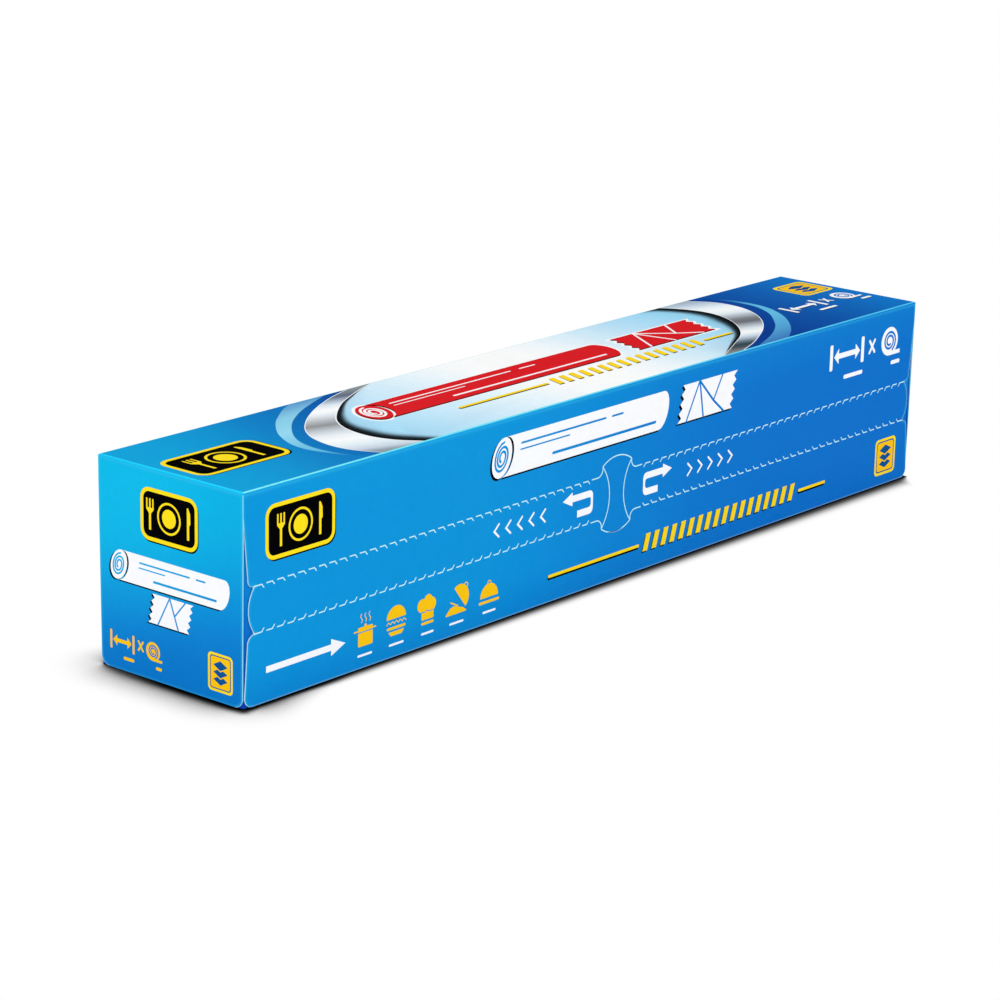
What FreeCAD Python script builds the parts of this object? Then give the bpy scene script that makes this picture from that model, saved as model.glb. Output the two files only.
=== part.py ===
import FreeCAD, Part
import math
import os
import Sketcher
from FreeCAD import Placement, Rotation, Vector

# A sealed folding-board carton of kitchen foil, closed as it leaves the packing line.
# +X runs along the carton, the front with the tear strip faces -Y, and +Z is up.
# The origin is the middle of the base.
#
# One board blank is folded round the roll. The front, back, base and the inner layers of both
# ends make the inner carton. The lid goes over it, with one glued flap down the whole front and
# one down each end. Nothing can be seen of the inside, so the carton is solid.

doc = FreeCAD.newDocument("foil_carton")

sizes = doc.addObject("Spreadsheet::Sheet", "sizes")
size_rows = [
    ("carton_length", 310.0, "outside, over both end flaps"),
    ("carton_depth", 54.0, "outside, over the front flap"),
    ("carton_height", 59.0, "outside"),
    ("board_thickness", 0.5, "one layer of folding board"),
    ("fold_radius", 0.6, "outside of a creased fold"),
    ("base_fold_radius", 0.4, "outside of the folds round the base, pressed flat by the gluing"),
    ("flap_land", 6.0, "how far below the lid the flaps still meet at the corners"),
    ("flap_lift", 0.2, "free lower edge of a flap above the base"),
    ("flap_corner", 2.8, "rounding of a flap's lower corners"),
    ("end_flap_draft", 0.4, "how far an end flap's side runs in on its way down"),
    ("upper_draft", 1.75, "how far the front flap's side has run in above the strip"),
    ("upper_corner", 1.85, "rounding of the front flap's side above the strip"),
    ("lower_draft", 1.55, "inset of the front flap's side just below the strip"),
    ("foot_draft", 0.5, "inset of the front flap's side at its foot"),
    ("strip_base", 20.0, "lower perforated row above the base"),
    ("strip_height", 13.0, "between the two perforated rows"),
    ("notch_depth", 4.25, "from the carton's end to the notches at the strip's ends"),
    ("strip_end_gap", 1.9, "from the carton's end to the rounded end of the strip"),
    ("cut_width", 0.35, "opening of a cut in the board"),
    ("cut_pitch", 3.96, "from one hooked cut to the next"),
    ("cut_length", 2.2, "straight part of a hooked cut"),
    ("hook_run", 0.85, "length of the hook along the row"),
    ("hook_rise", 1.04, "length of the hook into the strip"),
    ("tab_run", 11.8, "from the middle to where the hooked cuts end"),
    ("tab_turn", 9.1, "from the middle to where the row turns off to the tab"),
    ("tab_half_width", 6.8, "from the middle to the tab's corners"),
    ("tab_rise", 2.95, "from the row to the tab's corners"),
    ("tab_crown", 5.1, "from the row to the top of the tab's arch"),
    ("tab_waist", 3.3, "from the middle to the tab's narrowest place"),
]
for row, (alias, value, note) in enumerate(size_rows, start=1):
    sizes.set(f"A{row}", alias)
    sizes.set(f"B{row}", str(value))
    sizes.set(f"C{row}", note)
    sizes.setAlias(f"B{row}", alias)
doc.recompute()

half_length = "sizes.carton_length / 2"
half_depth = "sizes.carton_depth / 2"
half_strip = "sizes.strip_height / 2"
half_cut = "sizes.cut_width / 2"
strip_top = "sizes.strip_base + sizes.strip_height"
flap_land_base = "sizes.carton_height - sizes.flap_land"
front_plane = f"{half_depth} - sizes.board_thickness"
end_plane = f"{half_length} - sizes.board_thickness"
same_place = 0.001


def value_of(expression):
    return float(sizes.evalExpression(expression))


def arch_radius(half_span, rise):
    """The radius of an arc with this half span that rises this much."""
    return f"((({half_span})^2 + ({rise})^2) / (2 * ({rise})))"


def other_leg(longest, leg):
    """The third side of a right-angled triangle."""
    return f"sqrt(({longest})^2 - ({leg})^2)"


def sketch_on(body, name, role, offset="0"):
    """A sketch on one of the body's own planes, moved along the plane's normal."""
    sketch = body.newObject("Sketcher::SketchObject", name)
    plane = next(item for item in body.Origin.OriginFeatures if item.Role == role)
    sketch.AttachmentSupport = [(plane, "")]
    sketch.MapMode = "FlatFace"
    sketch.setExpression("AttachmentOffset.Base.z", offset)
    return sketch


def arc_between(first, last, radius, bulge):
    """The arc that bulges right (-1) or left (1) of the way from first to last. A sketch keeps its
    arcs anticlockwise, so one that bulges left is stored from last to first."""
    half = (last - first).Length / 2
    sagitta = radius - math.sqrt(radius * radius - half * half)
    left = Vector(first.y - last.y, last.x - first.x, 0).normalize()
    middle = (first + last) / 2 + left * (bulge * sagitta)
    if bulge > 0:
        return Part.ArcOfCircle(last, middle, first)
    return Part.ArcOfCircle(first, middle, last)


def bind(sketch, constraint, expression):
    sketch.setExpression(f"Constraints[{sketch.addConstraint(constraint)}]", expression)


def draw_loop(sketch, corners):
    """A closed outline through corners (across, up, arc). An arc (radius, bulge) leads to the next
    corner, and a corner with None there has a straight side after it."""
    places = [Vector(value_of(across), value_of(up), 0) for across, up, arc in corners]
    sides = []
    for index, (across, up, arc) in enumerate(corners):
        start, end = places[index], places[(index + 1) % len(places)]
        if arc:
            radius, bulge = arc
            side = sketch.addGeometry(arc_between(start, end, value_of(radius), bulge))
            bind(sketch, Sketcher.Constraint("Radius", side, value_of(radius)), radius)
            sides.append((side, 2 if bulge > 0 else 1))
        else:
            sides.append((sketch.addGeometry(Part.LineSegment(start, end)), 1))
    for index, (across, up, arc) in enumerate(corners):
        side, tail = sides[index]
        before, before_tail = sides[index - 1]
        sketch.addConstraint(Sketcher.Constraint("Coincident", before, 3 - before_tail, side, tail))
        bind(sketch, Sketcher.Constraint("DistanceX", -1, 1, side, tail, places[index].x), across)
        bind(sketch, Sketcher.Constraint("DistanceY", -1, 1, side, tail, places[index].y), up)


def draw_rectangle(sketch, left, right, low, high):
    draw_loop(sketch, [(left, low, None), (right, low, None), (right, high, None), (left, high, None)])


def both_sides(right_side):
    """An outline from its right-hand side, which runs from the foot up, and that side's mirror image."""
    left_side = []
    for index, (across, up, arc) in reversed(list(enumerate(right_side))):
        arc_before = right_side[index - 1][2] if index else None
        left_side.append((f"-({across})", up, arc_before))
    return right_side + left_side


def flap_outline(half_width, foot_inset, above_foot=()):
    """A flap that hangs from the lid's fold, with rounded lower corners."""
    foot = f"{half_width} - ({foot_inset})"
    return both_sides(
        [
            (f"{foot} - sizes.flap_corner", "sizes.flap_lift", ("sizes.flap_corner", -1)),
            (foot, "sizes.flap_lift + sizes.flap_corner", None),
            *above_foot,
            (half_width, flap_land_base, None),
            (half_width, "sizes.carton_height", None),
        ]
    )


def strip_corners(corners, across_side, up_side):
    """Corners measured from the middle of the tear strip, put on the chosen side of it."""
    middle = f"sizes.strip_base + {half_strip}"
    placed = []
    for across, up, arc in corners:
        turned = arc and (arc[0], arc[1] * across_side * up_side)
        placed.append((f"{across_side} * ({across})", f"{middle} + {up_side} * ({up})", turned))
    return placed


def pad(body, name, sketch, length):
    feature = body.newObject("PartDesign::Pad", name)
    feature.Profile = sketch
    feature.setExpression("Length", length)
    return feature


def cut_flap(body, name, sketch):
    """Cuts the sketch right through the front flap and no deeper."""
    feature = body.newObject("PartDesign::Pocket", name)
    feature.Profile = sketch
    feature.setExpression("Length", "sizes.board_thickness")
    return feature


def round_folds(body, name, base, radius, wanted):
    """Rounds each edge of the base feature whose bounding box passes the test."""
    doc.recompute()
    edges = [
        f"Edge{number}"
        for number, edge in enumerate(base.Shape.Edges, start=1)
        if wanted(edge.BoundBox)
    ]
    feature = body.newObject("PartDesign::Fillet", name)
    feature.Base = (base, edges)
    feature.setExpression("Radius", radius)
    return feature


carton = doc.addObject("PartDesign::Body", "foil_carton")
carton.Label = "foil_carton"
carton.Placement = Placement(Vector(0, 0, 0), Rotation())

# Inner carton: a closed box, one board thickness inside the front flap and the end flaps
inner_sketch = sketch_on(carton, "inner_outline", "XY_Plane")
draw_rectangle(inner_sketch, f"-({end_plane})", end_plane, f"-({front_plane})", half_depth)
inner_carton = pad(carton, "inner_carton", inner_sketch, f"{flap_land_base} + sizes.board_thickness")
inner_folds = round_folds(
    carton, "inner_folds", inner_carton, "sizes.fold_radius", lambda box: box.ZLength > same_place
)
base_folds = round_folds(
    carton, "base_folds", inner_folds, "sizes.base_fold_radius", lambda box: box.ZMax < same_place
)

# Lid: down to the flap land its flaps meet at the corners, so there it is closed all round
lid_sketch = sketch_on(carton, "lid_outline", "XY_Plane", flap_land_base)
draw_rectangle(lid_sketch, f"-({half_length})", half_length, f"-({half_depth})", half_depth)
lid = pad(carton, "lid", lid_sketch, "sizes.flap_land")

# Front flap: it covers the whole front, and its sides run in to the notches of the tear strip
shoulder = "sizes.notch_depth - sizes.lower_draft"
strip_end = arch_radius(half_strip, "sizes.notch_depth - sizes.strip_end_gap")
upper_side = f"{half_length} - sizes.upper_draft"
flap_sketch = sketch_on(carton, "front_flap_outline", "XZ_Plane", front_plane)
draw_loop(
    flap_sketch,
    flap_outline(
        half_length,
        "sizes.foot_draft",
        [
            (f"{half_length} - sizes.lower_draft", f"sizes.strip_base - ({shoulder})", (shoulder, -1)),
            (f"{half_length} - sizes.notch_depth", "sizes.strip_base", (strip_end, -1)),
            (f"{half_length} - sizes.notch_depth", strip_top, None),
            (f"{upper_side} - sizes.upper_corner", strip_top, ("sizes.upper_corner", -1)),
            (upper_side, f"{strip_top} + sizes.upper_corner", None),
        ],
    ),
)
front_flap = pad(carton, "front_flap", flap_sketch, "sizes.board_thickness")

# End flaps: the same at both ends, a little narrower at the foot so that they fold down freely
end_sketch = sketch_on(carton, "end_flap_outline", "YZ_Plane", end_plane)
draw_loop(end_sketch, flap_outline(half_depth, "sizes.end_flap_draft"))
end_flap = pad(carton, "end_flap", end_sketch, "sizes.board_thickness")
doc.recompute()
other_end_flap = carton.newObject("PartDesign::Mirrored", "other_end_flap")
other_end_flap.Originals = [end_flap]
middle_plane = next(item for item in carton.Origin.OriginFeatures if item.Role == "YZ_Plane")
other_end_flap.MirrorPlane = (middle_plane, [""])
carton.Tip = other_end_flap

# Lid folds: the crease along each top edge
lid_top = value_of("sizes.carton_height")
lid_folds = round_folds(
    carton, "lid_folds", other_end_flap, "sizes.fold_radius", lambda box: box.ZMin > lid_top - same_place
)

# Lead-in cuts: from the notches at the strip's ends to the outermost of the hooked cuts
cut_count = f"floor(({half_length} - sizes.notch_depth - sizes.tab_run) / sizes.cut_pitch)"
outermost = f"sizes.tab_run + sizes.cut_pitch * {cut_count}"
lead_sketch = sketch_on(carton, "lead_in_outlines", "XZ_Plane", half_depth)
notch = f"{half_length} - sizes.notch_depth + {half_cut}"
lead_in = [
    (f"{outermost} - {half_cut}", f"{half_strip} - {half_cut}", None),
    (notch, f"{half_strip} - {half_cut}", None),
    (notch, f"{half_strip} + {half_cut}", None),
    (f"{outermost} - {half_cut}", f"{half_strip} + {half_cut}", None),
]
# Tab run-in cuts: from the rows' inner ends, turning off to the tab's corners
turn = arch_radius("sizes.tab_turn - sizes.tab_half_width", "sizes.tab_rise")
turn_drop = f"{turn} - sizes.tab_rise"
turn_outside = f"{turn} + {half_cut}"
turn_inside = f"{turn} - {half_cut}"
tab_corner_up = f"{half_strip} + sizes.tab_rise"
run_in = [
    ("sizes.tab_run", f"{half_strip} - {half_cut}", None),
    ("sizes.tab_run", f"{half_strip} + {half_cut}", None),
    ("sizes.tab_turn", f"{half_strip} + {half_cut}", (turn_inside, 1)),
    (f"sizes.tab_turn - {other_leg(turn_inside, turn_drop)}", tab_corner_up, None),
    (f"sizes.tab_turn - {other_leg(turn_outside, turn_drop)}", tab_corner_up, (turn_outside, -1)),
    ("sizes.tab_turn", f"{half_strip} - {half_cut}", None),
]
for across_side in (-1, 1):
    for up_side in (-1, 1):
        draw_loop(lead_sketch, strip_corners(lead_in, across_side, up_side))
        draw_loop(lead_sketch, strip_corners(run_in, across_side, up_side))
lead_in_cuts = cut_flap(carton, "lead_in_cuts", lead_sketch)

# Tab arches: the rounded top and bottom of the thumb tab
arch = arch_radius("sizes.tab_half_width", "sizes.tab_crown - sizes.tab_rise")
arch_middle = f"{half_strip} + sizes.tab_crown - {arch}"
arch_outside = f"{arch} + {half_cut}"
arch_inside = f"{arch} - {half_cut}"
outside_up = f"{arch_middle} + {other_leg(arch_outside, 'sizes.tab_half_width')}"
inside_up = f"{arch_middle} + {other_leg(arch_inside, 'sizes.tab_half_width')}"
tab_arch = [
    ("sizes.tab_half_width", inside_up, None),
    ("sizes.tab_half_width", outside_up, (arch_outside, -1)),
    ("-sizes.tab_half_width", outside_up, None),
    ("-sizes.tab_half_width", inside_up, (arch_inside, 1)),
]
arch_sketch = sketch_on(carton, "tab_arch_outlines", "XZ_Plane", half_depth)
for up_side in (-1, 1):
    draw_loop(arch_sketch, strip_corners(tab_arch, 1, up_side))
tab_arches = cut_flap(carton, "tab_arches", arch_sketch)

# Tab sides: two cuts that bow in to the tab's waist
bow = arch_radius(tab_corner_up, "sizes.tab_half_width - sizes.tab_waist")
bow_middle = f"sizes.tab_waist + {bow}"
bow_outside = f"{bow} + {half_cut}"
bow_inside = f"{bow} - {half_cut}"
side_reach = f"{tab_corner_up} - {half_cut}"
outside_across = f"{bow_middle} - {other_leg(bow_outside, side_reach)}"
inside_across = f"{bow_middle} - {other_leg(bow_inside, side_reach)}"
tab_side = [
    (inside_across, f"-({side_reach})", (bow_inside, 1)),
    (inside_across, side_reach, None),
    (outside_across, side_reach, (bow_outside, -1)),
    (outside_across, f"-({side_reach})", None),
]
side_sketch = sketch_on(carton, "tab_side_outlines", "XZ_Plane", half_depth)
for across_side in (-1, 1):
    draw_loop(side_sketch, strip_corners(tab_side, across_side, 1))
tab_sides = cut_flap(carton, "tab_sides", side_sketch)

# Perforated rows: each hooked cut points into the strip at the end nearer the tab
hook_flank = f"{half_cut} * sqrt(sizes.hook_run^2 + sizes.hook_rise^2) / sizes.hook_rise"
hook_lean = f"{half_cut} * sizes.hook_run / sizes.hook_rise"


def hooked_cut(outer_end):
    """One cut of the upper row on the right, from its outer end round to its hook and back."""
    bend = f"{outer_end} - sizes.cut_length"
    tip = f"{bend} - sizes.hook_run"
    return [
        (outer_end, f"{half_strip} - {half_cut}", None),
        (outer_end, f"{half_strip} + {half_cut}", None),
        (f"{bend} + {hook_lean} - {hook_flank}", f"{half_strip} + {half_cut}", None),
        (f"{tip} - {hook_flank}", f"{half_strip} - sizes.hook_rise", None),
        (f"{tip} + {hook_flank}", f"{half_strip} - sizes.hook_rise", None),
        (f"{bend} - {hook_lean} + {hook_flank}", f"{half_strip} - {half_cut}", None),
    ]


# The left-hand rows start at the carton's end and the right-hand rows at the tab, so that one
# pattern along +X makes all four
row_sketch = sketch_on(carton, "hooked_cut_outlines", "XZ_Plane", half_depth)
innermost = "sizes.tab_run + sizes.cut_pitch"
for up_side in (-1, 1):
    draw_loop(row_sketch, strip_corners(hooked_cut(outermost), -1, up_side))
    draw_loop(row_sketch, strip_corners(hooked_cut(innermost), 1, up_side))
hooked_cuts = cut_flap(carton, "hooked_cuts", row_sketch)
doc.recompute()
perforated_rows = carton.newObject("PartDesign::LinearPattern", "perforated_rows")
perforated_rows.Originals = [hooked_cuts]
perforated_rows.Direction = (row_sketch, ["H_Axis"])
perforated_rows.setExpression("Length", f"sizes.cut_pitch * ({cut_count} - 1)")
perforated_rows.setExpression("Occurrences", cut_count)
carton.Tip = perforated_rows

doc.recompute()
for item in doc.Objects:
    if "Invalid" in item.State or "Error" in item.State:
        raise RuntimeError(f"{item.Name} is {item.State}")
bodies = [item for item in doc.Objects if item.TypeId == "PartDesign::Body"]
for body in bodies:
    if body.Shape.isNull() or not body.Shape.isValid() or len(body.Shape.Solids) != 1:
        raise RuntimeError(f"{body.Label} is not one valid solid")

os.makedirs("parts", exist_ok=True)
for body in bodies:
    body.Shape.exportStep(f"parts/{body.Label}.step")
    box = body.Shape.BoundBox
    print(f"{body.Label}: {box.XLength:.2f} x {box.YLength:.2f} x {box.ZLength:.2f} mm")
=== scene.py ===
from math import ceil, cos, radians, sin

import bmesh
import bpy
from mathutils import Matrix, Quaternion, Vector
from mathutils.geometry import delaunay_2d_cdt, intersect_point_line


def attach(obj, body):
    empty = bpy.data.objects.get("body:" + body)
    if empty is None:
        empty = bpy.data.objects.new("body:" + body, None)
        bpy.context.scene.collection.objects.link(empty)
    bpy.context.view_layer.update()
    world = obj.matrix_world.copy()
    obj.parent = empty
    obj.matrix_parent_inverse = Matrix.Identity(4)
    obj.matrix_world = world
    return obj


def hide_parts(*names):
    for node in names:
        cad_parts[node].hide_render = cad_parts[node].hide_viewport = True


# The sealed carton of a kitchen foil roll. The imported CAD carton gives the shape. Its print is let
# into the board's own faces as real outlines, so no ink floats and no edge is blurred.

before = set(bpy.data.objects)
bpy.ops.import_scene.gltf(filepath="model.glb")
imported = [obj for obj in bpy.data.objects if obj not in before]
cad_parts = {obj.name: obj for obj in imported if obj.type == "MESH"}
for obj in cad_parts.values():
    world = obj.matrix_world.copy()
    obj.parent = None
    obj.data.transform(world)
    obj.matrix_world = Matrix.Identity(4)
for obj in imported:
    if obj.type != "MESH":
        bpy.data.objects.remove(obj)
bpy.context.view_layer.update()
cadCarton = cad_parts["foil_carton"]
mm = 0.001
print("frame loaded:", len(cadCarton.data.polygons), "faces")

# camera at the photograph's place
viewpoint = {
    "lens": 117.338,
    "sensor": 36.0,
    "place": (-0.723961, -0.590335, 0.292824),
    "lookAt": (-0.038241, -0.014610, 0.030),
    "roll": 0.0208319,
}


def placed(name, data):
    thing = bpy.data.objects.new(name, data)
    bpy.context.scene.collection.objects.link(thing)
    return thing


def setUpCamera(v):
    camera = placed("photoCamera", bpy.data.cameras.new("photoCamera"))
    camera.data.lens = v["lens"]
    camera.data.sensor_width = v["sensor"]
    camera.data.clip_start, camera.data.clip_end = 0.05, 30.0
    place = Vector(v["place"])
    aim = (Vector(v["lookAt"]) - place).to_track_quat("-Z", "Y")
    camera.rotation_mode = "QUATERNION"
    camera.location = place
    camera.rotation_quaternion = aim @ Quaternion((0, 0, 1), v["roll"])
    bpy.context.scene.camera = camera


setUpCamera(viewpoint)
print("camera set")


# Drawing tools. A drawing is a list of (ink, outline) pairs, lowest ink first. Outlines are in
# millimetres, measured across and up a panel from its lower left corner.
def arc(cx, cy, rx, ry, start, end, step=9):
    count = max(2, ceil(abs(end - start) / step))
    angles = [radians(start + (end - start) * i / count) for i in range(count + 1)]
    return [(cx + rx * cos(a), cy + ry * sin(a)) for a in angles]


def oval(cx, cy, rx, ry, step=9):
    return arc(cx, cy, rx, ry, 0, 360, step)[:-1]


def roundBox(left, low, right, high, radius):
    corners = [(right, low, -90), (right, high, 0), (left, high, 90), (left, low, 180)]
    outline = []
    for x, y, start in corners:
        cx = x - radius if x == right else x + radius
        cy = y + radius if y == low else y - radius
        outline += arc(cx, cy, radius, radius, start, start + 90, 18)
    return outline


def lean(outline, foot, slope):
    return [(x + (y - foot) * slope, y) for x, y in outline]


def shift(outline, dx, dy):
    return [(x + dx, y + dy) for x, y in outline]


def flip(outline, middle):
    return [(2 * middle - x, y) for x, y in outline]


def turned(outline, centre, angle):
    turn = Matrix.Rotation(radians(angle), 2)
    return [tuple(Vector(centre) + turn @ (Vector(p) - Vector(centre))) for p in outline]


def smoothCurve(points, parts=6):
    # a soft curve through every point
    ends = [points[0]] + points + [points[-1]]
    curve = []
    for i in range(1, len(ends) - 2):
        a, b, c, d = (Vector(ends[i + k]) for k in (-1, 0, 1, 2))
        for t in (k / parts for k in range(parts)):
            place = b * 2 + (c - a) * t + (a * 2 - b * 5 + c * 4 - d) * t * t
            curve.append(tuple((place + (b * 3 - a - c * 3 + d) * t ** 3) / 2))
    return curve + [tuple(points[-1])]


def sideSteps(points, closed):
    # at each point the way across the line, as long as a mitre needs
    steps = []
    for i, point in enumerate(points):
        here = Vector(point)
        around = []
        if closed or i:
            around.append((Vector(points[i - 1]), here))
        if closed or i < len(points) - 1:
            around.append((here, Vector(points[(i + 1) % len(points)])))
        ways = [(b - a).normalized() for a, b in around]
        way = sum(ways, Vector((0, 0))).normalized()
        side = Vector((way.y, -way.x))
        steps.append(side / max(0.5, side.dot(Vector((ways[0].y, -ways[0].x)))))
    return steps


def area(outline):
    pairs = zip(outline, outline[1:] + outline[:1])
    return sum(a[0] * b[1] - b[0] * a[1] for a, b in pairs) / 2


def grow(outline, amount):
    # amount is a distance, or a function of the place that gives one
    if area(outline) < 0:
        outline = outline[::-1]
    steps = sideSteps(outline, True)
    reach = amount if callable(amount) else lambda x, y: amount
    return [(x + s.x * reach(x, y), y + s.y * reach(x, y)) for (x, y), s in zip(outline, steps)]


def stroke(points, width, rounded=True):
    # the outline of a line of this width along the points
    half = width / 2
    steps = sideSteps(points, False)
    right = [(x + s.x * half, y + s.y * half) for (x, y), s in zip(points, steps)]
    left = [(x - s.x * half, y - s.y * half) for (x, y), s in zip(points, steps)]
    if not rounded:
        return right + left[::-1]
    caps = []
    for end, side in ((points[-1], right[-1]), (points[0], left[0])):
        reach = Vector(side) - Vector(end)
        caps.append([tuple(Vector(end) + Matrix.Rotation(radians(a), 2) @ reach) for a in (36, 72, 108, 144)])
    return right + caps[0] + left[::-1] + caps[1]


# Signs for the print. Each gives its solid outlines and the gaps in them.
def rollSign(left, foot, length, height, stripes):
    rx, ry = height * 0.36, height / 2
    cx, cy, gap = left + rx, foot + ry, height * 0.075
    right = left + length - height * 0.3
    barrel = arc(right, cy, height * 0.3, ry, -90, 90) + arc(cx + gap, cy, rx, ry, 90, -90)
    turns = [(0.76 - 0.56 * i / 40, 90 + 22 * i) for i in range(41)]
    spiral = [(cx + rx * r * cos(radians(a)), cy + ry * r * sin(radians(a))) for r, a in turns]
    gaps = [stroke(spiral, height * 0.062)]
    for up, start, end, width in stripes:
        line = [(left + length * start, foot + height * up), (left + length * end, foot + height * up)]
        gaps.append(stroke(line, height * width))
    return [oval(cx, cy, rx, ry), barrel], gaps


def sheetSign(left, foot, width, height, teeth, creases):
    depth, right = height / teeth / 2, left + width
    steps = [foot + height * i / (2 * teeth) for i in range(2 * teeth + 1)]
    rightSide = [(right - depth * (i % 2), y) for i, y in enumerate(steps)]
    leftSide = [(left + depth * (i % 2), y) for i, y in enumerate(steps)]
    gaps = []
    for start, end in creases:
        line = [(left + width * x, foot + height * y) for x, y in (start, end)]
        gaps.append(stroke(line, height * 0.06))
    return [rightSide + leftSide[::-1]], gaps


# The crumpled look of a torn sheet, as lines across it from (0, 0) to (1, 1)
sheetCreases = [((0.16, 0.0), (0.3, 1.0)), ((0.3, 1.0), (0.62, 0.36)), ((0.3, 1.0), (0.47, 0.0)),
                ((0.62, 0.36), (0.72, 1.0)), ((0.62, 0.36), (0.84, 0.0))]


def spoolSign(cx, cy, radius):
    # the end of a roll with its loose edge
    turns = [(0.74 - 0.5 * i / 36, 300 + 20 * i) for i in range(37)]
    spiral = [(cx + radius * r * cos(radians(a)), cy + radius * r * sin(radians(a))) for r, a in turns]
    right, low, high = cx + radius * 1.3, cy - radius, cy - radius * 0.72
    edge = [(cx, low), (right, low), (right, high), (cx, high)]
    return [oval(cx, cy, radius, radius), edge], [stroke(spiral, radius * 0.16)]


def widthSign(left, low, right, high):
    # an arrow at both ends between two bars
    middle, bar, head = (low + high) / 2, (right - left) * 0.085, (high - low) * 0.3
    inner, outer = left + bar * 1.45, right - bar * 1.45
    start, end, stem = inner + head, outer - head, head * 0.34
    lower = [(inner, 0), (start, -head), (start, -stem), (end, -stem), (end, -head), (outer, 0)]
    arrow = [(x, middle + y) for x, y in lower] + [(x, middle - y) for x, y in lower[-2:0:-1]]
    return [roundBox(x, low, x + bar, high, bar * 0.3) for x in (left, right - bar)] + [arrow]


def crossSign(cx, cy, width, height):
    a, b = width / 2, height / 2
    return [stroke([(cx - a, cy - b * way), (cx + a, cy + b * way)], height * 0.24) for way in (1, -1)]


def drawSign(drawing, sign, ink, gapInk, foot=0.0, slope=0.0, shadow=None, halo=None):
    solids, gaps = ([lean(o, foot, slope) for o in part] for part in sign)
    if halo:
        for outline in solids:
            wide = grow(outline, halo)
            drawing += [("printWhite", wide), ("printWhite", shift(wide, *shadow))]
    if shadow:
        for outline in solids:
            for part in (1, 0.5):
                drawing.append(("printBlack", shift(outline, shadow[0] * part, shadow[1] * part)))
    drawing += [(ink, outline) for outline in solids]
    drawing += [(gapInk, outline) for outline in gaps]


def slantedDashes(left, low, right, high, pitch, width, slope):
    count = int((right - left - (high - low) * slope - width) / pitch) + 1
    first = [(left, low), (left + width, low), (left + width, high), (left, high)]
    return [lean(shift(first, pitch * i, 0), low, slope) for i in range(count)]


def drawPlaque(drawing, left, low, right, high, shadow):
    # a dark plate-and-cutlery plaque with a yellow rim
    corner, rim = (high - low) * 0.22, (high - low) * 0.075
    outer = roundBox(left, low, right, high, corner)
    inner = roundBox(left + rim, low + rim, right - rim, high - rim, corner - rim)
    drawing += [("printBlack", shift(outer, *shadow)), ("rimYellow", outer), ("plaqueBlack", inner)]
    cx, cy, s = (left + right) / 2, (low + high) / 2, (high - low) / 15.6
    for ink, radius in (("rimYellow", 4.7), ("plaqueBlack", 4.05), ("rimYellow", 2.75)):
        drawing.append((ink, oval(cx, cy, radius * s, radius * s)))
    knife = [(0.45, -4.6), (0.45, -0.4), (0.95, 0.2), (0.85, 3.2), (0.1, 4.7), (-0.45, 4.7), (-0.45, -4.6)]
    fork = [(0.42, -4.6), (0.42, 0.2), (1.5, 1.4), (1.5, 4.6), (0.95, 4.6), (0.95, 1.9), (0.3, 1.9), (0.3, 4.6)]
    fork += [(-x, y) for x, y in fork[::-1]]
    for tool, aside in ((knife, 7.6), (fork, -7.6)):
        drawing.append(("rimYellow", shift([(x * s, y * s) for x, y in tool], cx + aside * s, cy)))


def drawLayerTile(drawing, left, low, right, high, line):
    # an amber tile with a yellow rim and three stacked sheets
    corner, rim = (right - left) * 0.14, (right - left) * 0.075
    drawing.append(("rimYellow", roundBox(left, low, right, high, corner)))
    for ink, inset in (("tileLine", rim), ("tileAmber", rim + line)):
        box = roundBox(left + inset, low + inset, right - inset, high - inset, corner - inset / 2)
        drawing.append((ink, box))
    cx, cy, a, b = (left + right) / 2, (low + high) / 2, (right - left) * 0.29, (high - low) * 0.13
    for level in (-1, 0, 1):
        sheet = shift([(cx - a, cy), (cx, cy - b), (cx + a, cy), (cx, cy + b)], 0, level * b * 1.45)
        if level > -1:
            drawing.append(("tileAmber", grow(sheet, line)))
        drawing.append(("tileLine", sheet))


def drawTitle(drawing, title, ink, gapInk):
    # a roll and a torn sheet of foil side by side
    roll = rollSign(title["left"], title["foot"], title["rollLength"], title["height"], title["stripes"])
    sheet = sheetSign(title["sheetLeft"], title["foot"], title["sheetWidth"], title["height"], 4, sheetCreases)
    for sign in (roll, sheet):
        drawSign(drawing, sign, ink, gapInk, title["foot"], title["slope"], title["shadow"], title.get("halo"))


def drawSlogan(drawing, rules, dashes):
    # slanted dashes between two rules, all with a shadow
    spans = (rules["left"], rules["right"])
    bars = [roundBox(left, rules["low"], right, rules["high"], rules["corner"]) for left, right in spans]
    for outlines, shadow in ((bars, rules["shadow"]), (slantedDashes(**dashes), rules["dashShadow"])):
        drawing += [("printBlack", shift(outline, *shadow)) for outline in outlines]
        drawing += [("ruleYellow", outline) for outline in outlines]


def drawSize(drawing, size, ink, ground, shadow=None):
    # the roll's width by its length: a width arrow, a cross and a roll's end, with bars under them
    low, high, corner = size["bar"]
    signs = widthSign(*size["width"]) + crossSign(*size["cross"])
    signs += [roundBox(left, low, right, high, corner) for left, right in size["barSpans"]]
    if shadow:
        drawing += [("printBlack", shift(outline, *shadow)) for outline in signs]
    drawing += [(ink, outline) for outline in signs]
    drawSign(drawing, spoolSign(*size["spool"]), ink, ground, shadow=shadow)


print("drawing tools ready")

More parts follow.
